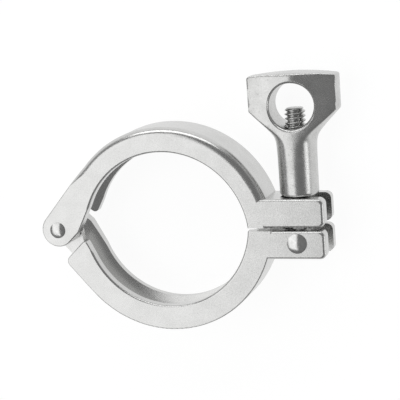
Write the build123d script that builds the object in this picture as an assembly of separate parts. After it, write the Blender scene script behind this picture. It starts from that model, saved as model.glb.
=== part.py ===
from build123d import *
import os
from math import asin, atan2, cos, degrees, hypot, radians, sin, tan

# Hinged clamp for a pair of sanitary ferrules: two jaws from one casting pattern, lap-jointed on a
# riveted hinge pin, and closed by a swing bolt with a wing nut.
# Units are millimetres. The ring axis is Z, +X runs from the hinge to the lugs and +Y to the upper jaw.
# The origin is the middle of the ring on the parting plane. The clamp lies on its side.

# ---- Driving dimensions ---------------------------------------------------------------------------

# Ring and seat
WIDTH = 18.0               # clamp width along the ring axis
OUTER_RADIUS = 42.8        # outside of each jaw, about its own seat axis
LIP_RADIUS = 33.25         # inner edge of both flanges
GROOVE_RADIUS = 39.6       # floor of the V-groove that holds the ferrule rims
GROOVE_FLOOR = 6.6         # width of that floor
GROOVE_ANGLE = 20.0        # slope of each groove side, degrees
SEAT_OFFSET = 2.8          # each seat axis lies this far past the parting plane
PARTING_GAP = 1.2          # daylight between the closed lugs
LIP_ROUND = 0.9            # rounding of the flange lips
BACK_ROUND = 3.2           # rounding of the ring's outer edge on the pattern's draft side
BACK_FADE = 12.0           # length over which it runs out along the straight back
EDGE_ROUND = 0.5           # rounding of the other outer edges

# Hinge
HINGE_X = -45.3            # hinge axis, on the parting plane
EAR_RADIUS = 6.7           # round end of each hinge ear
EAR_UNDERCUT_ANGLE = 53.5  # where the ear's inner edge leaves its round end, degrees below +X
EASE_TOP = 10.0            # height at which the bore's hinge end starts to open out
EASE_FOOT_Y = -0.9         # height at which that opening ends
EASE_DEPTH = 3.3           # how far its foot lies outside the round bore
RELIEF_ANGLE = 47.0        # direction of the cut that clears the other jaw's ear
RELIEF_REACH = 10.5        # distance of that cut from the hinge axis
RELIEF_OUTER_ROUND = 2.6   # rounding of the cut flange's outer corner
RELIEF_TIP_ROUND = 1.3     # rounding of its tip beside the bore
LAP_GAP = 0.3              # daylight between the two ears
HINGE_PIN_RADIUS = 2.5
HINGE_HEAD_RADIUS = 3.15
HINGE_HEAD_HEIGHT = 0.9
RIVET_RIM_SHARE = 0.25     # upright share of every rivet head's height, below its dome

# Lugs and swing bolt
LUG_END = 63.2             # outer end of both lugs
LUG_THICKNESS = 11.0
LUG_CORNER = 2.4           # corners of the lug seen from the front
LUG_EDGE_ROUND = 1.2       # rounding of its long edges
BOLT_X = 52.2              # swing bolt axis
BOLT_PIN_DEPTH = 5.4       # pin axis below the parting plane
BOLT_PIN_RADIUS = 3.0
BOLT_HEAD_RADIUS = 3.8
BOLT_HEAD_HEIGHT = 1.1
SLOT_WIDTH = 8.6           # fork slot in both lugs
EYE_RADIUS = 5.8
EYE_PLAY = 0.3             # side play of the eye in the slot
EYE_CLEARANCE = 0.9        # radial room between the eye and the slot's floor
BOLT_RADIUS = 3.95         # over the thread crests
BOLT_STICKOUT = 33.4       # bolt end above the lug
BOLT_END_CHAMFER = 0.9

# Wing nut
NUT_SHANK_RADIUS = 7.4
NUT_SHANK_HEIGHT = 23.0    # base to the foot of the flare
NUT_HEAD_RADIUS = 17.4
NUT_SIDE_TOP = 45.9        # base to the shoulder of the head
NUT_CROWN = 1.3            # rise of the domed top above that shoulder
FLARE_ANGLE = 45.0         # slope of the flare, degrees
NUT_ROOT_ROUND = 9.0       # hollow between the shank and the flare
NUT_BASE_ROUND = 1.6
NUT_MOUTH = 0.6            # chamfer of the threaded bore
NUT_TOP_ROUND = 0.8
NUT_RIDGE_HALF = 7.2       # half thickness of the head along its ridge, at the cross hole
NUT_TIP_HALF = 3.9         # half thickness at the wing tips
NUT_FACE_DRAFT = 1.3       # slope that thins the head upwards, degrees
NUT_EDGE_ROUND = 0.35      # rounding of the faces' outer edges
NUT_HOLE_RADIUS = 8.6
NUT_HOLE_HEIGHT = 34.6     # base to the middle of the cross hole
NUT_HOLE_CHAMFER = 1.1

# Fits
FIXED_PIN_CLEARANCE = 0.01    # rivet in the jaw that holds it
RUNNING_CLEARANCE = 0.05      # rivet in the piece that turns on it, and nut on bolt
FACE_CLEARANCE = 0.03         # rivet head and nut face over a piece that moves

# ---- Worked out from them -------------------------------------------------------------------------

HALF = WIDTH / 2
HALF_GAP = PARTING_GAP / 2
SEAT = Vector(0, -SEAT_OFFSET)
HINGE = Vector(HINGE_X, 0)
LUG_TOP = HALF_GAP + LUG_THICKNESS
BOLT_PIN_Y = -BOLT_PIN_DEPTH
EAR_BACK = LAP_GAP / 2
NUT_BASE_Y = LUG_TOP + FACE_CLEARANCE
NUT_ROOT_REACH = NUT_ROOT_ROUND * tan(radians(FLARE_ANGLE / 2))
NUT_FLARE_FOOT = NUT_SHANK_HEIGHT + NUT_ROOT_REACH * cos(radians(FLARE_ANGLE))
FAR = 3 * OUTER_RADIUS


def polar(centre, radius, angle):
    """The point at a distance and a direction, in degrees, from a centre."""
    return centre + Vector(radius * cos(radians(angle)), radius * sin(radians(angle)))


def block(x0, x1, y0, y1, z0, z1):
    """A box between two corners."""
    middle = Pos((x0 + x1) / 2, (y0 + y1) / 2, (z0 + z1) / 2)
    return middle * Box(x1 - x0, y1 - y0, z1 - z0)


def prism(outline, z0, z1):
    """An outline in XY, extruded between two heights."""
    return extrude(Pos(0, 0, z0) * outline, z1 - z0)


def rod(x, y, radius, z0, z1):
    """A round bar along Z."""
    return Pos(x, y, (z0 + z1) / 2) * Cylinder(radius, z1 - z0)


# ---- Jaw casting ----------------------------------------------------------------------------------

def ring_blank():
    """Half disc with the large rounding on the +Z side of its rim."""
    with BuildSketch(Plane.XZ) as section:
        with BuildLine():
            Polyline((0, HALF), (0, -HALF), (OUTER_RADIUS, -HALF), (OUTER_RADIUS, HALF - BACK_ROUND))
            RadiusArc((OUTER_RADIUS, HALF - BACK_ROUND), (OUTER_RADIUS - BACK_ROUND, HALF), -BACK_ROUND)
            Line((OUTER_RADIUS - BACK_ROUND, HALF), (0, HALF))
        make_face()
    disc = Pos(SEAT.X, SEAT.Y) * revolve(section.sketch, Axis.Z)
    return disc & block(-FAR, FAR, HALF_GAP, FAR, -FAR, FAR)


def seat_tool():
    """What the ferrules and tube leave free: the lip bore, its rounded edges and the V-groove."""
    lip_z = GROOVE_FLOOR / 2 + (GROOVE_RADIUS - LIP_RADIUS) * tan(radians(GROOVE_ANGLE))
    face_radius = LIP_RADIUS + LIP_ROUND
    with BuildSketch(Plane.XZ) as section:
        with BuildLine():
            Polyline((face_radius, -HALF), (face_radius, -WIDTH), (0, -WIDTH), (0, WIDTH),
                     (face_radius, WIDTH), (face_radius, HALF))
            RadiusArc((face_radius, HALF), (LIP_RADIUS, HALF - LIP_ROUND), -LIP_ROUND)
            Polyline((LIP_RADIUS, HALF - LIP_ROUND), (LIP_RADIUS, lip_z),
                     (GROOVE_RADIUS, GROOVE_FLOOR / 2), (GROOVE_RADIUS, -GROOVE_FLOOR / 2),
                     (LIP_RADIUS, -lip_z), (LIP_RADIUS, -HALF + LIP_ROUND))
            RadiusArc((LIP_RADIUS, -HALF + LIP_ROUND), (face_radius, -HALF), -LIP_ROUND)
        make_face()
    return Pos(SEAT.X, SEAT.Y) * revolve(section.sketch, Axis.Z)


def tangent_points():
    """Where the straight back of the jaw leaves the ear and meets the ring."""
    across = SEAT - HINGE
    heading = degrees(atan2(across.Y, across.X) + asin((OUTER_RADIUS - EAR_RADIUS) / across.length))
    return polar(HINGE, EAR_RADIUS, heading + 90), polar(SEAT, OUTER_RADIUS, heading + 90)


def bore_point(radius, y):
    """The point at height y on the hinge side of a circle about the seat axis."""
    return Vector(-(radius ** 2 - (y + SEAT_OFFSET) ** 2) ** 0.5, y)


def ease_points():
    """Ends of the line that opens the bore out towards the hinge."""
    return bore_point(LIP_RADIUS, EASE_TOP), bore_point(LIP_RADIUS + EASE_DEPTH, EASE_FOOT_Y)


def fade_tool():
    """Corner cut that lets the ring's large rounding run out along the straight back: the rounding's
    own section, carried along the back while it moves out of the metal on both faces."""
    ear_top, ring_top = tangent_points()
    along = (ear_top - ring_top).normalized()
    outward = (ring_top - SEAT).normalized()
    start = Plane(origin=ring_top, x_dir=outward, z_dir=-along)
    beyond = BACK_ROUND
    with BuildSketch(start) as corner:
        with BuildLine():
            RadiusArc((-BACK_ROUND, HALF), (0, HALF - BACK_ROUND), BACK_ROUND)
            Polyline((0, HALF - BACK_ROUND), (beyond, HALF - BACK_ROUND), (beyond, HALF + beyond),
                     (-BACK_ROUND, HALF + beyond), (-BACK_ROUND, HALF))
        make_face()
    run_out = BACK_ROUND * (1 - cos(radians(45)))
    path = along * BACK_FADE + outward * run_out + Vector(0, 0, run_out)
    return extrude(corner.sketch, path.length, dir=path)


def arm_outline():
    """The straight-backed arm between the ring and the hinge axis."""
    ear_top, ring_top = tangent_points()
    ease_top, ease_foot = ease_points()
    undercut = polar(HINGE, EAR_RADIUS, -EAR_UNDERCUT_ANGLE)
    inside = SEAT + (ring_top - SEAT).normalized() * LIP_RADIUS
    return make_face(Polyline(ear_top, ring_top, inside, ease_top, ease_foot, undercut, HINGE, close=True))


def lug():
    """The lug block, rounded all over, before its fork slot is cut."""
    inner = LIP_RADIUS
    plate = Pos((inner + LUG_END) / 2, (HALF_GAP + LUG_TOP) / 2) * Rectangle(LUG_END - inner, LUG_THICKNESS)
    plate = fillet(plate.vertices().group_by(Axis.X)[-1], LUG_CORNER)
    body = prism(plate, -HALF, HALF)
    outer_faces = body.faces().sort_by(Axis.Z)
    edges = [edge for face in (outer_faces[0], outer_faces[-1]) for edge in face.edges()]
    return fillet([edge for edge in edges if edge.center().X > inner + LUG_CORNER / 2], LUG_EDGE_ROUND)


def relief_tool():
    """Everything on the hinge side of the relief cut, on the other ear's half of the width."""
    middle = polar(HINGE, RELIEF_REACH - FAR / 2, RELIEF_ANGLE)
    slab = Pos(middle.X, middle.Y) * Rot(0, 0, RELIEF_ANGLE) * Rectangle(FAR, FAR)
    return prism(slab, -WIDTH, EAR_BACK)


def ease_tool():
    """The wedge between the round bore and the line that opens it out."""
    top, foot = ease_points()
    beyond = Vector(LIP_RADIUS / 2, 0)
    below = Vector(0, -EAR_RADIUS)
    wedge = make_face(Polyline(top, foot, foot + below, foot + below + beyond, top + beyond, close=True))
    return prism(wedge, -WIDTH, WIDTH)


def near(edges, point):
    """The upright edge at a point seen from the front."""
    def distance(edge):
        return hypot(edge.center().X - point.X, edge.center().Y - point.Y)
    return edges.filter_by(Axis.Z).sort_by(distance)[0]


def crossing(point_a, point_b):
    """Where the line through two points crosses the relief cut."""
    normal = polar(Vector(0, 0), 1, RELIEF_ANGLE)
    start = (point_a - HINGE).dot(normal)
    end = (point_b - HINGE).dot(normal)
    return point_a + (point_b - point_a) * ((RELIEF_REACH - start) / (end - start))


def rim_edges(casting):
    """Sharp outer edges of both flat faces: all round the rim on -Z, and on +Z only the arm and the
    ear, where the rim has no large rounding. The bore is still solid here, and left alone."""
    ear_top, ring_top = tangent_points()
    faces = casting.faces().filter_by(Axis.Z).sort_by(Axis.Z)
    rims = []
    for face, end in ((faces[0], FAR), (faces[-1], ring_top.X)):
        for edge in face.outer_wire().edges():
            middle = edge.center()
            outside = hypot(middle.X - SEAT.X, middle.Y - SEAT.Y) > LIP_RADIUS - EDGE_ROUND
            if outside and middle.X < end:
                rims.append(edge)
    return rims


def jaw():
    """One casting in the upper jaw's place, with its hinge ear on +Z, not yet drilled."""
    ear = prism(arm_outline() + Pos(HINGE.X, HINGE.Y) * Circle(EAR_RADIUS), EAR_BACK, HALF)
    arm = prism(arm_outline(), -HALF, EAR_BACK)
    casting = ring_blank() + ear + arm - relief_tool() - ease_tool()
    casting = fillet(near(casting.edges(), crossing(*tangent_points())), RELIEF_OUTER_ROUND)
    casting = fillet(near(casting.edges(), crossing(*ease_points())), RELIEF_TIP_ROUND)
    casting = fillet(rim_edges(casting), EDGE_ROUND)
    slot_floor = BOLT_X - EYE_RADIUS - EYE_CLEARANCE
    slot = block(slot_floor, FAR, -FAR, FAR, -SLOT_WIDTH / 2, SLOT_WIDTH / 2)
    return casting - fade_tool() + lug() - seat_tool() - slot


def upper_jaw():
    """Turns on the hinge pin; its slot straddles the swing bolt."""
    return jaw() - rod(HINGE.X, HINGE.Y, HINGE_PIN_RADIUS + RUNNING_CLEARANCE, -WIDTH, WIDTH)


def lower_jaw():
    """The same casting turned over about X, drilled for both rivets."""
    turned = Rot(180, 0, 0) * jaw()
    hinge_hole = rod(HINGE.X, HINGE.Y, HINGE_PIN_RADIUS + FIXED_PIN_CLEARANCE, -WIDTH, WIDTH)
    bolt_hole = rod(BOLT_X, BOLT_PIN_Y, BOLT_PIN_RADIUS + FIXED_PIN_CLEARANCE, -WIDTH, WIDTH)
    return turned - hinge_hole - bolt_hole


# ---- Rivets ---------------------------------------------------------------------------------------

def dome_rise(radius, height, x):
    """Height at radius x of a spherical cap that is so wide and so high."""
    sphere = (radius ** 2 + height ** 2) / (2 * height)
    return (sphere ** 2 - x ** 2) ** 0.5 - (sphere - height)


def rivet(x, y, radius, head_radius, head_height):
    """A pin with a domed head on each face of the clamp."""
    seat_z = HALF + FACE_CLEARANCE
    rim_z = seat_z + head_height * RIVET_RIM_SHARE
    cap = head_height * (1 - RIVET_RIM_SHARE)
    inside = head_radius * 0.6
    inside_z = rim_z + dome_rise(head_radius, cap, inside)
    with BuildSketch(Plane.XZ) as section:
        with BuildLine():
            Line((0, seat_z + head_height), (0, -seat_z - head_height))
            ThreePointArc((0, -seat_z - head_height), (inside, -inside_z), (head_radius, -rim_z))
            Polyline((head_radius, -rim_z), (head_radius, -seat_z), (radius, -seat_z),
                     (radius, seat_z), (head_radius, seat_z), (head_radius, rim_z))
            ThreePointArc((head_radius, rim_z), (inside, inside_z), (0, seat_z + head_height))
        make_face()
    return Pos(x, y) * revolve(section.sketch, Axis.Z)


# ---- Swing bolt and wing nut ----------------------------------------------------------------------

def eye_bolt():
    """The swing bolt: an eye on the bolt pin and a threaded shank, left plain here."""
    eye_half = SLOT_WIDTH / 2 - EYE_PLAY
    length = LUG_TOP + BOLT_STICKOUT - BOLT_PIN_Y
    shank = Pos(BOLT_X, BOLT_PIN_Y + length / 2) * Rot(90, 0, 0) * Cylinder(BOLT_RADIUS, length)
    shank = chamfer(shank.edges().filter_by(GeomType.CIRCLE).sort_by(Axis.Y)[-1], BOLT_END_CHAMFER)
    eye = rod(BOLT_X, BOLT_PIN_Y, EYE_RADIUS, -eye_half, eye_half)
    return shank + eye - rod(BOLT_X, BOLT_PIN_Y, BOLT_PIN_RADIUS + RUNNING_CLEARANCE, -WIDTH, WIDTH)


def nut_turning():
    """The nut as turned about the bolt axis, drawn with its base at the origin and Z along the bolt."""
    flare_top = NUT_SHANK_HEIGHT + (NUT_HEAD_RADIUS - NUT_SHANK_RADIUS) / tan(radians(FLARE_ANGLE))
    root_centre = Vector(NUT_SHANK_RADIUS + NUT_ROOT_ROUND, NUT_SHANK_HEIGHT - NUT_ROOT_REACH)
    shoulder = NUT_HEAD_RADIUS - NUT_TOP_ROUND
    half_way = dome_rise(shoulder, NUT_CROWN, shoulder / 2)
    with BuildSketch(Plane.XZ) as section:
        with BuildLine():
            Line((0, 0), (NUT_SHANK_RADIUS - NUT_BASE_ROUND, 0))
            RadiusArc((NUT_SHANK_RADIUS - NUT_BASE_ROUND, 0), (NUT_SHANK_RADIUS, NUT_BASE_ROUND),
                      -NUT_BASE_ROUND)
            Line((NUT_SHANK_RADIUS, NUT_BASE_ROUND), polar(root_centre, NUT_ROOT_ROUND, 180))
            ThreePointArc(*(polar(root_centre, NUT_ROOT_ROUND, 180 - share * FLARE_ANGLE)
                            for share in (0, 0.5, 1)))
            Polyline(polar(root_centre, NUT_ROOT_ROUND, 180 - FLARE_ANGLE), (NUT_HEAD_RADIUS, flare_top),
                     (NUT_HEAD_RADIUS, NUT_SIDE_TOP - NUT_TOP_ROUND))
            RadiusArc((NUT_HEAD_RADIUS, NUT_SIDE_TOP - NUT_TOP_ROUND), (shoulder, NUT_SIDE_TOP),
                      -NUT_TOP_ROUND)
            ThreePointArc((shoulder, NUT_SIDE_TOP), (shoulder / 2, NUT_SIDE_TOP + half_way),
                          (0, NUT_SIDE_TOP + NUT_CROWN))
            Line((0, NUT_SIDE_TOP + NUT_CROWN), (0, 0))
        make_face()
    return revolve(section.sketch, Axis.Z)


def nut_faces():
    """The slab between the nut's front and back: each side has two faces raked from the ridge to the
    tips, and draft thins it upwards, so that the faces run out where the shank begins."""
    base_ridge = NUT_RIDGE_HALF + NUT_HOLE_HEIGHT * tan(radians(NUT_FACE_DRAFT))
    rake = (NUT_RIDGE_HALF - NUT_TIP_HALF) / NUT_HEAD_RADIUS
    beyond = 1.5 * NUT_HEAD_RADIUS
    tip = base_ridge - beyond * rake
    plan = make_face(Polyline((beyond, tip), (0, base_ridge), (-beyond, tip),
                              (-beyond, -tip), (0, -base_ridge), (beyond, -tip), close=True))
    return extrude(plan, 2 * NUT_SIDE_TOP, taper=NUT_FACE_DRAFT)


def wing_nut():
    """A turned blank cut to the raked faces, with a cross hole and the threaded bore, left plain."""
    nut = nut_turning() & nut_faces()
    nut = fillet([edge for edge in nut.edges()
                  if edge.center().Z > NUT_FLARE_FOOT + NUT_EDGE_ROUND
                  and abs(edge.center().Y) > NUT_TIP_HALF / 2
                  and abs(edge.center().X) > NUT_EDGE_ROUND], NUT_EDGE_ROUND)
    hole = Pos(0, 0, NUT_HOLE_HEIGHT) * Rot(90, 0, 0) * Cylinder(NUT_HOLE_RADIUS, 4 * NUT_SHANK_RADIUS)
    nut -= hole
    rims = [edge for edge in nut.edges()
            if abs(hypot(edge.position_at(0.5).X, edge.position_at(0.5).Z - NUT_HOLE_HEIGHT)
                   - NUT_HOLE_RADIUS) < 0.01 and abs(edge.position_at(0.5).Y) > NUT_TIP_HALF]
    nut = chamfer(rims, NUT_HOLE_CHAMFER)
    bore = Pos(0, 0, NUT_HOLE_HEIGHT / 2) * Cylinder(BOLT_RADIUS + RUNNING_CLEARANCE, NUT_HOLE_HEIGHT)
    nut -= bore
    mouth = [edge for edge in nut.edges().filter_by(GeomType.CIRCLE).group_by(Axis.Z)[0]
             if edge.radius < NUT_SHANK_RADIUS - NUT_BASE_ROUND - 0.01]
    nut = chamfer(mouth, NUT_MOUTH)
    return Pos(BOLT_X, NUT_BASE_Y) * Rot(-90, 0, 0) * nut


# ---- Build and write ------------------------------------------------------------------------------

nodes = {
    "upper_jaw": upper_jaw(),
    "lower_jaw": lower_jaw(),
    "hinge_pin": rivet(HINGE.X, HINGE.Y, HINGE_PIN_RADIUS, HINGE_HEAD_RADIUS, HINGE_HEAD_HEIGHT),
    "bolt_pin": rivet(BOLT_X, BOLT_PIN_Y, BOLT_PIN_RADIUS, BOLT_HEAD_RADIUS, BOLT_HEAD_HEIGHT),
    "eye_bolt": eye_bolt(),
    "wing_nut": wing_nut(),
}

os.makedirs("parts", exist_ok=True)
for name, solid in nodes.items():
    export_step(solid, f"parts/{name}.step")
    print(name, round(solid.volume, 1))
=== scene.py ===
# %% [markdown]
# # A hinged clamp in stainless steel
#
# The clamp is already modelled as six solids: two jaws, two rivets, a swing bolt and a wing nut.
# This file dresses them. It keeps the jaws and the rivets and gives them a steel finish. It makes
# two forms anew that the solids leave plain or crisp: the bolt's thread and the nut's soft ridge.
# Then it lights the result. Each step starts with what the real thing is and why it is made so.

# %% Load the frame
import math

import bpy
import numpy as np
from mathutils import Matrix, Vector


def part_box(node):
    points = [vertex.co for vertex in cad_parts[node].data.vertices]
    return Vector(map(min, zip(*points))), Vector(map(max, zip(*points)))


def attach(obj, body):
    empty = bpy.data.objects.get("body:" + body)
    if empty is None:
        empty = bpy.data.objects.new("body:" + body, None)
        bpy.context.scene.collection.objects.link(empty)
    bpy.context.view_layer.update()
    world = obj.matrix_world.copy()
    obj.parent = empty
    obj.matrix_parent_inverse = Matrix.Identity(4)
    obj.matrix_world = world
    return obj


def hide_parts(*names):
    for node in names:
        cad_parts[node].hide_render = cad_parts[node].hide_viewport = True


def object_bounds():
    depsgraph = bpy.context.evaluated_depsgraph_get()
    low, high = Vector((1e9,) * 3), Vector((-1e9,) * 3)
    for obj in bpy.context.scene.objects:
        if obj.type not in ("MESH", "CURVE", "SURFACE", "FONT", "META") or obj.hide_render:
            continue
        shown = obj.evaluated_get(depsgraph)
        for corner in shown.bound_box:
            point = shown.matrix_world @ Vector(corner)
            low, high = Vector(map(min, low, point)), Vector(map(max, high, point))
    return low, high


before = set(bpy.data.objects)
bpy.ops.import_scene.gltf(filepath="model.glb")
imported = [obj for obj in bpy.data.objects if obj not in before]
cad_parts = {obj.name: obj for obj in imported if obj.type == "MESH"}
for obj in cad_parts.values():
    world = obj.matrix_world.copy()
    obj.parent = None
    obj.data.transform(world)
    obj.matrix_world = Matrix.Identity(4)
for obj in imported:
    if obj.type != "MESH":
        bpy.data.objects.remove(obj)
cad_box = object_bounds()
print("solids:", sorted(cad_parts))

# %% [markdown]
# ## Sizes
#
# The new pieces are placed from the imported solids, so that they sit where the solids sit. The
# bolt's rivet gives the bolt's axis, the bolt's own box gives its length and the eye's thickness,
# and the nut's box gives the height of its base. Blender works in metres and steelwork is drawn in
# millimetres, so one constant turns the second into the first.

# %% Measure the solids
MM = 0.001

pin_low, pin_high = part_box("bolt_pin")
bolt_low, bolt_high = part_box("eye_bolt")
nut_low, nut_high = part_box("wing_nut")

bolt_x = (pin_low.x + pin_high.x) / 2
pin_y = (pin_low.y + pin_high.y) / 2
bolt_end_y = bolt_high.y
eye_half = bolt_high.z
print("bolt axis x %.2f mm, pin y %.2f mm" % (bolt_x / MM, pin_y / MM))
print("bolt end y %.2f mm, eye half thickness %.2f mm" % (bolt_end_y / MM, eye_half / MM))

# %% [markdown]
# ## The camera
#
# The clamp lies on its side, so a camera that looks at the front of the ring looks down on it. Its
# place is given as a person would say it: turned a little to the lug side of the ring's axis,
# raised a little towards the wing nut, about half a metre away, and tilted a few degrees. A long
# lens keeps the ring round. The camera is aimed at a point rather than shifted, so that it also
# frames other views well.

# %% Place the camera
CAMERA_TURN = 20.0        # degrees from the ring's axis towards the lugs
CAMERA_RISE = 12.2        # degrees towards the wing nut
CAMERA_TILT = -4.62       # degrees about the line of sight
CAMERA_DISTANCE = 0.548   # from the middle of the ring
CAMERA_LENS = 125.5       # for a sensor 36 mm wide
CAMERA_AIM = Vector((12.1, 9.9, 0)) * MM


def camera_frame(turn, rise, tilt, distance, aim):
    """Camera place and axes: it stands at distance along the direction (turn, rise) from the ring's
    middle, looks at aim, and is turned by tilt about its line of sight."""
    turn, rise, tilt = math.radians(turn), math.radians(rise), math.radians(tilt)
    stand = Vector((math.sin(turn) * math.cos(rise), math.sin(rise), math.cos(turn) * math.cos(rise)))
    right = Vector((0, 1, 0)).cross(stand).normalized()
    up = stand.cross(right)
    leaning_up = up * math.cos(tilt) - right * math.sin(tilt)
    place = stand * distance
    back = (place - aim).normalized()
    right = leaning_up.cross(back).normalized()
    up = back.cross(right)
    return Matrix.Translation(place) @ Matrix((right, up, back)).transposed().to_4x4()


camera = bpy.data.objects.new("camera", bpy.data.cameras.new("camera"))
camera.data.lens = CAMERA_LENS
camera.matrix_world = camera_frame(CAMERA_TURN, CAMERA_RISE, CAMERA_TILT, CAMERA_DISTANCE, CAMERA_AIM)
bpy.context.collection.objects.link(camera)
bpy.context.scene.camera = camera
print("camera at", [round(v, 3) for v in camera.location])

# %% [markdown]
# ## Helpers for materials
#
# Colours are written as the hex values a painter would pick from a screen and one function turns
# them to the linear numbers that a shader works in. One more function adds a node, sets its
# properties and inputs, and links what it is given.

# %% Colour and node helpers
def linear(code):
    """sRGB hex such as "#D0D0CE" to linear RGBA: each channel c/12.92 below 0.04045, else
    ((c+0.055)/1.055)^2.4."""
    channels = [int(code[i:i + 2], 16) / 255 for i in (1, 3, 5)]
    return tuple(c / 12.92 if c <= 0.04045 else ((c + 0.055) / 1.055) ** 2.4 for c in channels) + (1.0,)


def add(tree, kind, settings=None, **inputs):
    """Adds a node. settings are its properties; each input is a value or another node's output.
    An input named in1 is the second socket, which is how a Math node is fed."""
    node = tree.nodes.new(kind)
    for key, value in (settings or {}).items():
        setattr(node, key, value)
    for key, value in inputs.items():
        name = key.replace("_", " ")
        numbered = key[:2] == "in" and key[2:].isdigit()
        socket = node.inputs[int(key[2:])] if numbered else node.inputs[name]
        if isinstance(value, bpy.types.NodeSocket):
            tree.links.new(value, socket)
        else:
            socket.default_value = value
    return node


def new_material(name):
    """An empty node material with its output node."""
    material = bpy.data.materials.new(name)
    material.use_nodes = True
    material.node_tree.nodes.clear()
    return material, material.node_tree, material.node_tree.nodes.new("ShaderNodeOutputMaterial")

# %% [markdown]
# ## Cast and tumbled stainless steel
#
# The jaws are investment castings in stainless steel, tumbled in ceramic media until they have an
# even satin skin. Up close it is a very fine grain with no direction, with faint clouds where the
# media polished a little more. It could be one roughness value, but then the flat faces look like
# plastic: a metal shows its surface only by what it reflects, so the grain has to break up the
# reflection. Fine noise drives both roughness and bump, and a broad noise clouds the colour. The
# real grain is under 0.1 mm wide, too fine to show, so it is drawn several times coarser.

# %% Tumbled steel
GRAIN_STRENGTH = 0.6
ROUGHNESS_SWING = (-0.05, 0.07)     # how far the grain moves the roughness, down and up
NOISE_RANGE = (0.3, 0.7)            # where nearly all of a noise's values lie
PIT_WIDTH = 0.9 * MM
PIT_RANGE = (0.56, 0.70)            # a pit starts at the first value and is full at the second
PIT_COLOUR = "#5E5D5B"
PIT_ROUGHNESS = 0.25


def tumbled_steel(name, colour, dark, roughness, grain_mm, grain_depth_mm, cloud_mm, pit=0.0):
    """Steel with grain grain_mm wide and grain_depth_mm deep, clouded over cloud_mm. pit, from 0
    to 1, is how far small casting pits darken and roughen it."""
    material, tree, output = new_material(name)
    place = add(tree, "ShaderNodeTexCoord").outputs["Object"]
    low, high = NOISE_RANGE
    grain = add(tree, "ShaderNodeTexNoise", Vector=place, Scale=1 / (grain_mm * MM), Detail=3.0,
                Roughness=0.55).outputs["Fac"]
    cloud = add(tree, "ShaderNodeTexNoise", Vector=place, Scale=1 / (cloud_mm * MM), Detail=4.0,
                Roughness=0.6).outputs["Fac"]
    tint = add(tree, "ShaderNodeMapRange", Value=cloud, From_Min=low, From_Max=high).outputs["Result"]
    skin = add(tree, "ShaderNodeMix", {"data_type": "RGBA"}, in0=tint, in6=linear(dark),
               in7=linear(colour))
    rough = add(tree, "ShaderNodeMapRange", Value=grain, From_Min=low, From_Max=high,
                To_Min=roughness + ROUGHNESS_SWING[0],
                To_Max=roughness + ROUGHNESS_SWING[1]).outputs["Result"]
    base = skin.outputs[2]
    if pit:
        spots = add(tree, "ShaderNodeTexNoise", Vector=place, Scale=1 / PIT_WIDTH, Detail=5.0,
                    Roughness=0.7).outputs["Fac"]
        deep = add(tree, "ShaderNodeMapRange", Value=spots, From_Min=PIT_RANGE[0],
                   From_Max=PIT_RANGE[1], To_Min=0.0, To_Max=pit).outputs["Result"]
        base = add(tree, "ShaderNodeMix", {"data_type": "RGBA"}, in0=deep, in6=base,
                   in7=linear(PIT_COLOUR)).outputs[2]
        rougher = add(tree, "ShaderNodeMath", {"operation": "MULTIPLY"}, in0=deep, in1=PIT_ROUGHNESS)
        rough = add(tree, "ShaderNodeMath", {"operation": "ADD"}, in0=rough,
                    in1=rougher.outputs[0]).outputs[0]
    bump = add(tree, "ShaderNodeBump", Height=grain, Distance=grain_depth_mm * MM,
               Strength=GRAIN_STRENGTH)
    steel = add(tree, "ShaderNodeBsdfPrincipled", Base_Color=base, Roughness=rough, Metallic=1.0,
                Normal=bump.outputs["Normal"])
    tree.links.new(steel.outputs["BSDF"], output.inputs["Surface"])
    print(name, "has", len(tree.nodes), "nodes")
    return material

# %% Four steels
# Cast stainless steel, tumbled: even and satin, so that flat faces look pale and quiet.
jaw_steel = tumbled_steel("tumbled_cast_stainless", "#CFCFCE", "#C6C6C5", 0.24, 0.35, 0.02, 9.0)

# The same steel on the nut, tumbled less evenly: coarser, more clouded, and finely pitted.
nut_steel = tumbled_steel("tumbled_cast_stainless_nut", "#CDCDCC", "#BCBCBB", 0.26, 0.40, 0.03, 5.0,
                          pit=0.30)

# Stainless wire with its head formed by a press: smoother than a casting, so it glints.
rivet_steel = tumbled_steel("formed_stainless_rivet", "#DADAD9", "#C4C4C3", 0.17, 0.30, 0.02, 1.5)

# Stainless bar with a rolled thread: close-grained and a shade darker, bright on the crests.
bolt_steel = tumbled_steel("rolled_stainless_thread", "#C6C6C5", "#B4B4B3", 0.24, 0.25, 0.01, 2.0)

# %% [markdown]
# ## Dressing the solids
#
# A jaw is a casting, so its solid already has the right shape, down to the rounded rims, and so
# has a rivet's domed head. These four keep their own meshes and only swap the plain grey they came
# with for steel. The swing bolt and the wing nut get pieces of their own further down.

# %% Give the kept solids their steel
FINISH = {
    "upper_jaw": jaw_steel,
    "lower_jaw": jaw_steel,
    "hinge_pin": rivet_steel,
    "bolt_pin": rivet_steel,
}
for node, steel in FINISH.items():
    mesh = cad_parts[node].data
    mesh.materials.clear()
    mesh.materials.append(steel)
    print(node, len(mesh.polygons), "triangles in", steel.name)

# %% [markdown]
# ## The swing bolt's thread
#
# The solid bolt is a plain cylinder, but the real one carries a coarse rolled thread, which shows
# in the nut's cross hole and along the whole shank once the nut is off. A helix could be swept
# along a spiral, but such a sweep is hard to run out cleanly at its ends. Here the shank is one
# surface over angle and height instead: its radius follows a wave that climbs one pitch a turn.

# %% Grid to mesh
def enclosed_volume(vertices, faces):
    """Signed volume of a closed mesh: the sum over its triangles of a . (b x c) / 6, which is
    positive when the faces point outwards."""
    total = 0.0
    for group in faces:
        for corner in range(1, group.shape[1] - 1):
            a, b, c = (vertices[group[:, i]] for i in (0, corner, corner + 1))
            total += float((a * np.cross(b, c)).sum()) / 6
    return total


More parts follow.
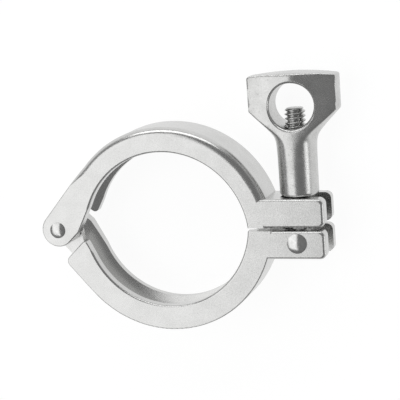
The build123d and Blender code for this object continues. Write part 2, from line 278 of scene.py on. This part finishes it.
def grid_piece(name, points, cap_ends, steel):
    """Makes an object from points[row, column]. Quads join neighbours, and the last column joins
    the first. cap_ends closes the first and last rows with a fan to their middle."""
    rows, columns = points.shape[:2]
    index = np.arange(rows * columns).reshape(rows, columns)
    following = np.roll(index, -1, axis=1)
    quads = np.stack([index[:-1], following[:-1], following[1:], index[1:]], axis=-1).reshape(-1, 4)
    vertices, faces = points.reshape(-1, 3), [quads]
    if cap_ends:
        middles = points[[0, -1]].mean(axis=1)
        first, last = rows * columns, rows * columns + 1
        ring = np.arange(columns)
        after = np.roll(ring, -1)
        low = np.stack([after, ring, np.full(columns, first)], axis=-1)
        high = np.stack([ring, after, np.full(columns, last)], axis=-1)
        high[:, :2] += (rows - 1) * columns
        vertices = np.concatenate([vertices, middles])
        faces += [low, high]
    if enclosed_volume(vertices, faces) < 0:
        faces = [group[:, ::-1] for group in faces]
    mesh = bpy.data.meshes.new(name)
    mesh.from_pydata(vertices.tolist(), [], [face for group in faces for face in group.tolist()])
    mesh.validate()
    mesh.shade_smooth()
    mesh.materials.append(steel)
    piece = bpy.data.objects.new(name, mesh)
    bpy.context.collection.objects.link(piece)
    print(name, len(mesh.vertices), "vertices", len(mesh.polygons), "faces")
    return piece

# %% Thread and shank
CREST_RADIUS = 3.95 * MM
THREAD_PITCH = 1.7 * MM
THREAD_DEPTH = 0.95 * MM
CREST_FLAT = 0.16          # share of a pitch that the crest and the root stay flat
END_CHAMFER = 0.9 * MM
EYE_RADIUS = 5.8 * MM
PIN_RADIUS = 3.05 * MM
FADE_TURNS = 2             # pitches over which the thread fades in
THREAD_START = 1.05        # height of its start, in eye radii above the rivet
ANGLE_STEPS = 96
ROWS_PER_TURN = 14


def thread_radius(angle, height, top):
    """Crest radius less the thread's depth times a trapezoid wave of (height/pitch - angle/turn).
    The thread fades in over its first pitches, and a cone chamfers the top."""
    phase = (height / THREAD_PITCH - angle / (2 * np.pi)) % 1.0
    slope = 0.5 - CREST_FLAT
    ramp = np.clip((np.abs(phase - 0.5) - CREST_FLAT / 2) / slope, 0, 1)
    fade_in = np.clip((height - EYE_RADIUS * THREAD_START) / (FADE_TURNS * THREAD_PITCH), 0, 1)
    radius = CREST_RADIUS - THREAD_DEPTH * ramp * fade_in
    cone = CREST_RADIUS - END_CHAMFER + np.maximum(top - height, 0)
    return np.minimum(radius, cone)


shank_start = (PIN_RADIUS + EYE_RADIUS) / 2
shank_top = bolt_end_y - pin_y
rows = int(round((shank_top - shank_start) / THREAD_PITCH * ROWS_PER_TURN))
height, angle = np.meshgrid(np.linspace(shank_start, shank_top, rows),
                            np.linspace(0, 2 * np.pi, ANGLE_STEPS, endpoint=False), indexing="ij")
radius = thread_radius(angle, height, shank_top)
shank_points = np.stack([bolt_x + radius * np.sin(angle), pin_y + height, radius * np.cos(angle)],
                        axis=-1)
shank = grid_piece("threaded_shank", shank_points, True, bolt_steel)

# %% [markdown]
# ## The swing bolt's eye
#
# The shank ends in a flat eye, and the rivet through it is what the bolt swings on. It could be a
# torus, but such an eye has flat sides and rounded edges. So its section is a rectangle with
# round corners, carried once round the rivet.

# %% Eye
EYE_EDGE = 0.6 * MM


def ring_section(inner, outer, half, edge, corner_steps=6):
    """Closed section of a ring as (radius, height) pairs: a rectangle whose four corners are
    quarter circles of radius edge."""
    turn = np.linspace(0, np.pi / 2, corner_steps)
    corners = []
    for quarter, (at, z) in enumerate([(outer - edge, half - edge), (inner + edge, half - edge),
                                       (inner + edge, edge - half), (outer - edge, edge - half)]):
        around = turn + quarter * np.pi / 2
        corners.append(np.stack([at + edge * np.cos(around), z + edge * np.sin(around)], axis=-1))
    return np.concatenate(corners)


section = ring_section(PIN_RADIUS, EYE_RADIUS, eye_half, EYE_EDGE)
turn = np.linspace(0, 2 * np.pi, ANGLE_STEPS, endpoint=False)[:, None]
eye_points = np.stack([bolt_x + section[:, 0] * np.cos(turn), pin_y + section[:, 0] * np.sin(turn),
                       np.broadcast_to(section[:, 1], (ANGLE_STEPS, len(section)))], axis=-1)
eye_points = np.concatenate([eye_points, eye_points[:1]])
eye = grid_piece("bolt_eye", eye_points, False, bolt_steel)

for piece in (shank, eye):
    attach(piece, "bolt")
    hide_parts("eye_bolt")

# %% [markdown]
# ## The wing nut
#
# The nut is one casting: a round shank that flares at 45 degrees into a wide head, with two faces
# a side raked back from a ridge. On the real casting the ridge is soft and every edge is worn
# round by tumbling, so light slides across it without a crease. The solid has a crisp ridge, so
# this piece stands for it. A subdivided cage could be soft too, but it would miss the true cone
# and cylinder. So it is a surface over angle and height: in each direction it goes as far as the
# turned blank or the raked faces allow, whichever comes first, with a smooth minimum that rounds
# the edge between them. The cross hole and the bore are then cut by solids of their own.

# %% Nut dimensions
NUT_SHANK = 7.4 * MM
NUT_HEAD = 17.4 * MM
NUT_FLARE_FOOT = 22.9 * MM     # base to where the flare's slope would meet the shank
NUT_HOLLOW = 1.10 * MM         # how far the hollow above the shank stands off that corner
NUT_SIDE_TOP = 45.7 * MM
NUT_CROWN = 1.2 * MM
NUT_TOP_EDGE = 0.8 * MM
NUT_BASE_EDGE = 1.6 * MM
NUT_RIDGE = 7.95 * MM          # half thickness at the base, if the ridge were sharp
NUT_DRAFT = math.tan(math.radians(1.3))
NUT_RAKE = 0.19                # drop of each face per unit of width
NUT_RIDGE_SOFTNESS = 2.0 * MM  # beside the hole
NUT_FOOT_SOFTNESS = 5.0 * MM   # and this much more where the faces end above the shank
NUT_FOOT_REACH = 9.0 * MM      # height over which that extra softness dies away
NUT_EDGE_SOFTNESS = 0.2 * MM
NUT_RUN_OUT = 3.0 * MM         # the run-out is this far above the flare's foot, and this tall
NUT_RUN_OUT_SOFTNESS = 2.0     # and its edge is softer by this many times
HOLE_RADIUS = 8.6 * MM
HOLE_HEIGHT = 34.6 * MM
HOLE_ROUND = 1.3 * MM
HOLE_CLEARANCE = 1.5 * MM      # how far the cutter stands clear of the surface it cuts
BORE_RADIUS = 4.0 * MM
BORE_MOUTH = 0.6 * MM
nut_base_y = nut_low.y
print("nut base y %.2f mm, room above it %.2f mm" % (nut_base_y / MM, (nut_high.y - nut_base_y) / MM))


def turned_radius(height):
    """Radius of the turned blank. With u = height - flare foot, the flare is the smooth maximum
    (u + sqrt(u^2 + 4 hollow^2)) / 2 over the shank, and the base edge is a quarter circle."""
    u = height - NUT_FLARE_FOOT
    flare = (u + np.sqrt(u * u + 4 * NUT_HOLLOW ** 2)) / 2
    into_edge = np.clip(NUT_BASE_EDGE - height, 0, NUT_BASE_EDGE)
    edge = NUT_BASE_EDGE - np.sqrt(NUT_BASE_EDGE ** 2 - into_edge ** 2)
    return np.minimum(NUT_SHANK + flare, NUT_HEAD) - edge


def ridge_softness(height):
    """Softness of the ridge: a constant, and a bell curve of height that adds more near the
    flare's foot."""
    nearness = np.exp(-((height - NUT_FLARE_FOOT) / NUT_FOOT_REACH) ** 2)
    return NUT_RIDGE_SOFTNESS + NUT_FOOT_SOFTNESS * nearness


def face_height(x, height):
    """Half thickness of the head at x: ridge - draft height - rake (sqrt(x^2 + soft^2) - soft)."""
    soft = ridge_softness(height)
    return NUT_RIDGE - NUT_DRAFT * height - NUT_RAKE * (np.sqrt(x * x + soft * soft) - soft)


def face_reach(angle, height):
    """Distance from the axis to a raked face along angle: Newton's steps on
    reach |cos| = face_height(reach sin), from the straight face's answer."""
    across, along = np.abs(np.sin(angle)), np.abs(np.cos(angle))
    soft = ridge_softness(height)
    reach = (face_height(0, height) + NUT_RAKE * soft) / (along + NUT_RAKE * across)
    for _ in range(6):
        x = reach * across
        slope = along + NUT_RAKE * across * x / np.sqrt(x * x + soft * soft)
        reach = reach - (reach * along - face_height(x, height)) / slope
    return reach


def soft_minimum(a, b, softness):
    """-softness log(exp(-a/softness) + exp(-b/softness)), written so that it can't overflow."""
    low, gap = np.minimum(a, b), np.abs(a - b)
    return low - softness * np.log1p(np.exp(-gap / softness))


def nut_reach(angle, height):
    """Where the nut's surface is in a direction, at a height on its side: the soft minimum of the
    turned radius and the faces' reach. It is softer where the faces run out into the flare."""
    run_out = np.exp(-((height - NUT_FLARE_FOOT - NUT_RUN_OUT) / NUT_RUN_OUT) ** 2)
    return soft_minimum(turned_radius(height), face_reach(angle, height),
                        NUT_EDGE_SOFTNESS * (1 + NUT_RUN_OUT_SOFTNESS * run_out))

# %% Nut body
# Rows lie close together at the base's rounded edge and from the hollow upwards, where the shape
# turns, and far apart along the plain shank between them.
NUT_COLUMNS = 360
POLE = 0.02                    # share of the radius at which the flat ends close with a fan
shank_rows = np.linspace(2 * MM, 18 * MM, 17)
side = np.concatenate([np.linspace(0, NUT_BASE_EDGE, 10), shank_rows,
                       np.linspace(18.5 * MM, NUT_SIDE_TOP - NUT_TOP_EDGE, 70)])
angle = np.linspace(0, 2 * np.pi, NUT_COLUMNS, endpoint=False)
side_height, side_angle = np.meshgrid(side, angle, indexing="ij")
side_reach = nut_reach(side_angle, side_height)

edge_turn = np.linspace(0, np.pi / 2, 7)[1:, None]
edge_reach = side_reach[-1] - NUT_TOP_EDGE * (1 - np.cos(edge_turn))
edge_height = side[-1] + NUT_TOP_EDGE * np.sin(edge_turn)
crown_reach = edge_reach[-1] * np.linspace(1, POLE, 24)[1:, None]
crown_height = NUT_SIDE_TOP + NUT_CROWN * (1 - (crown_reach / NUT_HEAD) ** 2)
crown_at_edge = NUT_CROWN * (1 - (edge_reach[-1] / NUT_HEAD) ** 2)
edge_height = edge_height + crown_at_edge * np.sin(edge_turn)
bottom_reach = side_reach[0] * np.linspace(POLE, 1, 12)[:-1, None]

reach = np.concatenate([bottom_reach, side_reach, edge_reach, crown_reach])
height = np.concatenate([np.zeros_like(bottom_reach), side_height, edge_height, crown_height])
nut_points = np.stack([bolt_x + reach * np.sin(angle), nut_base_y + height, reach * np.cos(angle)],
                      axis=-1)
nut = grid_piece("cast_wing_nut", nut_points, True, nut_steel)

# %% [markdown]
# ## The nut's cross hole and bore
#
# The cross hole takes a bar for the last turn, and its rim is worn round. The bore takes the bolt
# and ends in the hole, so the bolt's end shows there. Both could be woven into the grid above, but
# a hole through a wall is simpler to cut. The hole's cutter widens at both mouths along a quarter
# circle, which leaves the round rim. The bore's widens once, at the base.

# %% Cutters
def cutter(name, points):
    """A closed solid to cut with, from points[row, column]."""
    return grid_piece(name, points, True, nut_steel)


around = np.linspace(0, 2 * np.pi, 192, endpoint=False)
rim_x, rim_y = HOLE_RADIUS * np.cos(around), HOLE_HEIGHT + HOLE_RADIUS * np.sin(around)
rim_start = face_height(rim_x, rim_y) - HOLE_ROUND
flank = np.linspace(0, math.radians(80), 9)[:, None]
mouth_radius = HOLE_RADIUS + HOLE_ROUND + HOLE_CLEARANCE
flank_radius = np.concatenate([HOLE_RADIUS + HOLE_ROUND * (1 - np.cos(flank)),
                               [[mouth_radius]], [[mouth_radius]]])
flank_depth = np.concatenate([rim_start + HOLE_ROUND * np.sin(flank),
                              [rim_start + HOLE_ROUND + HOLE_CLEARANCE / 3],
                              [rim_start + HOLE_ROUND + 2 * HOLE_CLEARANCE]])
depths = np.concatenate([-flank_depth[::-1], flank_depth])
radii = np.concatenate([flank_radius[::-1], flank_radius])
hole_cutter = cutter("hole_cutter", np.stack([bolt_x + radii * np.cos(around),
                                              nut_base_y + HOLE_HEIGHT + radii * np.sin(around),
                                              depths], axis=-1))
bore_rows = np.array([[BORE_RADIUS + 2 * BORE_MOUTH, -BORE_MOUTH], [BORE_RADIUS, BORE_MOUTH],
                      [BORE_RADIUS, HOLE_HEIGHT]])
bore_cutter = cutter("bore_cutter", np.stack([bolt_x + bore_rows[:, :1] * np.cos(around),
                                              nut_base_y + bore_rows[:, 1:] + 0 * around,
                                              bore_rows[:, :1] * np.sin(around)], axis=-1))

# %% Cut the nut
SHARP_ANGLE = math.radians(32)


def carve(piece, cutters):
    """Takes the cutters out of the piece, keeps the result as its mesh and removes the cutters."""
    for tool in cutters:
        cut = piece.modifiers.new(tool.name, "BOOLEAN")
        cut.operation, cut.solver, cut.object = "DIFFERENCE", "EXACT", tool
    carved = bpy.data.meshes.new_from_object(piece.evaluated_get(bpy.context.evaluated_depsgraph_get()))
    piece.modifiers.clear()
    piece.data = carved
    for tool in cutters:
        bpy.data.objects.remove(tool)
    carved.shade_smooth()
    carved.set_sharp_from_angle(angle=SHARP_ANGLE)
    print(piece.name, "carved:", len(carved.polygons), "faces")


carve(nut, (hole_cutter, bore_cutter))
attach(nut, "nut")
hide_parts("wing_nut")

# %% [markdown]
# ## The floor
#
# The clamp lies on white paper. Plain white paper under plain light comes out grey, and brighter
# lamps would bleach the steel. So the camera and the steel's reflections see paper that is mostly
# its own white, while the rest of it takes light as paper does and keeps a faint shadow.

# %% Floor
FLOOR_HALF = 3.0
PAPER_SHARE = 0.86
PAPER_GLOW = 1.07


def paper_material():
    """White paper. To the camera and in reflections most of its white is its own glow, so that the
    shadow on it stays faint; other light meets plain paper."""
    material, tree, output = new_material("white_paper")
    path = add(tree, "ShaderNodeLightPath").outputs
    seen = add(tree, "ShaderNodeMath", {"operation": "MAXIMUM"}, in0=path["Is Camera Ray"],
               in1=path["Is Glossy Ray"]).outputs[0]
    seen = add(tree, "ShaderNodeMath", {"operation": "MAXIMUM"}, in0=seen,
               in1=path["Is Transmission Ray"]).outputs[0]
    paper = add(tree, "ShaderNodeBsdfDiffuse", Color=linear("#FFFFFF"))
    glow = add(tree, "ShaderNodeEmission", Color=linear("#FFFFFF"), Strength=PAPER_GLOW)
    share = add(tree, "ShaderNodeMath", {"operation": "MULTIPLY"}, in0=seen, in1=PAPER_SHARE).outputs[0]
    both = add(tree, "ShaderNodeMixShader", in0=share, in1=paper.outputs[0], in2=glow.outputs[0])
    tree.links.new(both.outputs[0], output.inputs["Surface"])
    return material


floor_z = cad_box[0].z
floor_mesh = bpy.data.meshes.new("floor")
floor_mesh.from_pydata([(x * FLOOR_HALF, y * FLOOR_HALF, floor_z)
                        for x, y in ((-1, -1), (1, -1), (1, 1), (-1, 1))], [], [(0, 1, 2, 3)])
floor_mesh.materials.append(paper_material())
floor = bpy.data.objects.new("floor", floor_mesh)
bpy.context.collection.objects.link(floor)

# %% [markdown]
# ## The lamps
#
# Satin metal is mostly a picture of the room, so the lamps are large soft panels, placed for what
# the steel should mirror. A broad one hangs above and to the left, and its near edge stops short
# of straight overhead. Faces that mirror it turn pale, as the ring's flat face does. Faces that
# mirror the darker ceiling beside it turn grey, as the nut's right half does. A panel behind and
# one to the right give the upright sides their bright strips.

# %% Lamps
def panel(name, place, target, size, radiance):
    """A flat lamp at place that faces target. Its power is radiance times pi times its area."""
    lamp = bpy.data.lights.new(name, "AREA")
    lamp.shape = "RECTANGLE"
    lamp.size, lamp.size_y = size
    lamp.energy = radiance * math.pi * size[0] * size[1]
    holder = bpy.data.objects.new(name, lamp)
    holder.location = place
    holder.rotation_mode = "QUATERNION"
    holder.rotation_quaternion = (Vector(target) - Vector(place)).to_track_quat("-Z", "Y")
    bpy.context.collection.objects.link(holder)


panel("left_panel", (-1.65, -0.20, 2.0), (-1.65, -0.20, 0), (2.6, 3.2), 1.16)
panel("back_panel", (-0.4, 2.5, 1.1), (0, 0, 0), (3.0, 1.0), 2.2)
panel("right_panel", (2.5, -0.5, 1.0), (0, 0, 0), (1.6, 1.0), 1.6)

# %% [markdown]
# ## The room
#
# What is left of the room is the world's colour. It is light low down, where the upright sides
# look, and grey overhead. It changes only with height, so it looks alike from every side.

# %% Room
def room(horizon, wall, ceiling):
    """World colour by the height of the direction: horizon at 0, wall at 0.5, ceiling at 1."""
    world = bpy.data.worlds.new("studio")
    bpy.context.scene.world = world
    world.use_nodes = True
    tree = world.node_tree
    tree.nodes.clear()
    direction = add(tree, "ShaderNodeTexCoord").outputs["Generated"]
    up = add(tree, "ShaderNodeSeparateXYZ", Vector=direction).outputs["Z"]
    ramp = add(tree, "ShaderNodeValToRGB", Fac=up)
    stops = ramp.color_ramp.elements
    stops[0].position, stops[0].color = 0.0, linear(horizon)
    stops[1].position, stops[1].color = 1.0, linear(ceiling)
    middle = stops.new(0.5)
    middle.color = linear(wall)
    light = add(tree, "ShaderNodeBackground", Color=ramp.outputs["Color"], Strength=1.0)
    output = tree.nodes.new("ShaderNodeOutputWorld")
    tree.links.new(light.outputs["Background"], output.inputs["Surface"])


room("#C4C4C4", "#7C7C7C", "#848484")
bpy.context.scene.view_settings.view_transform = "Standard"
print("world", bpy.context.scene.world.name, "and", len(bpy.data.lights), "lamps")
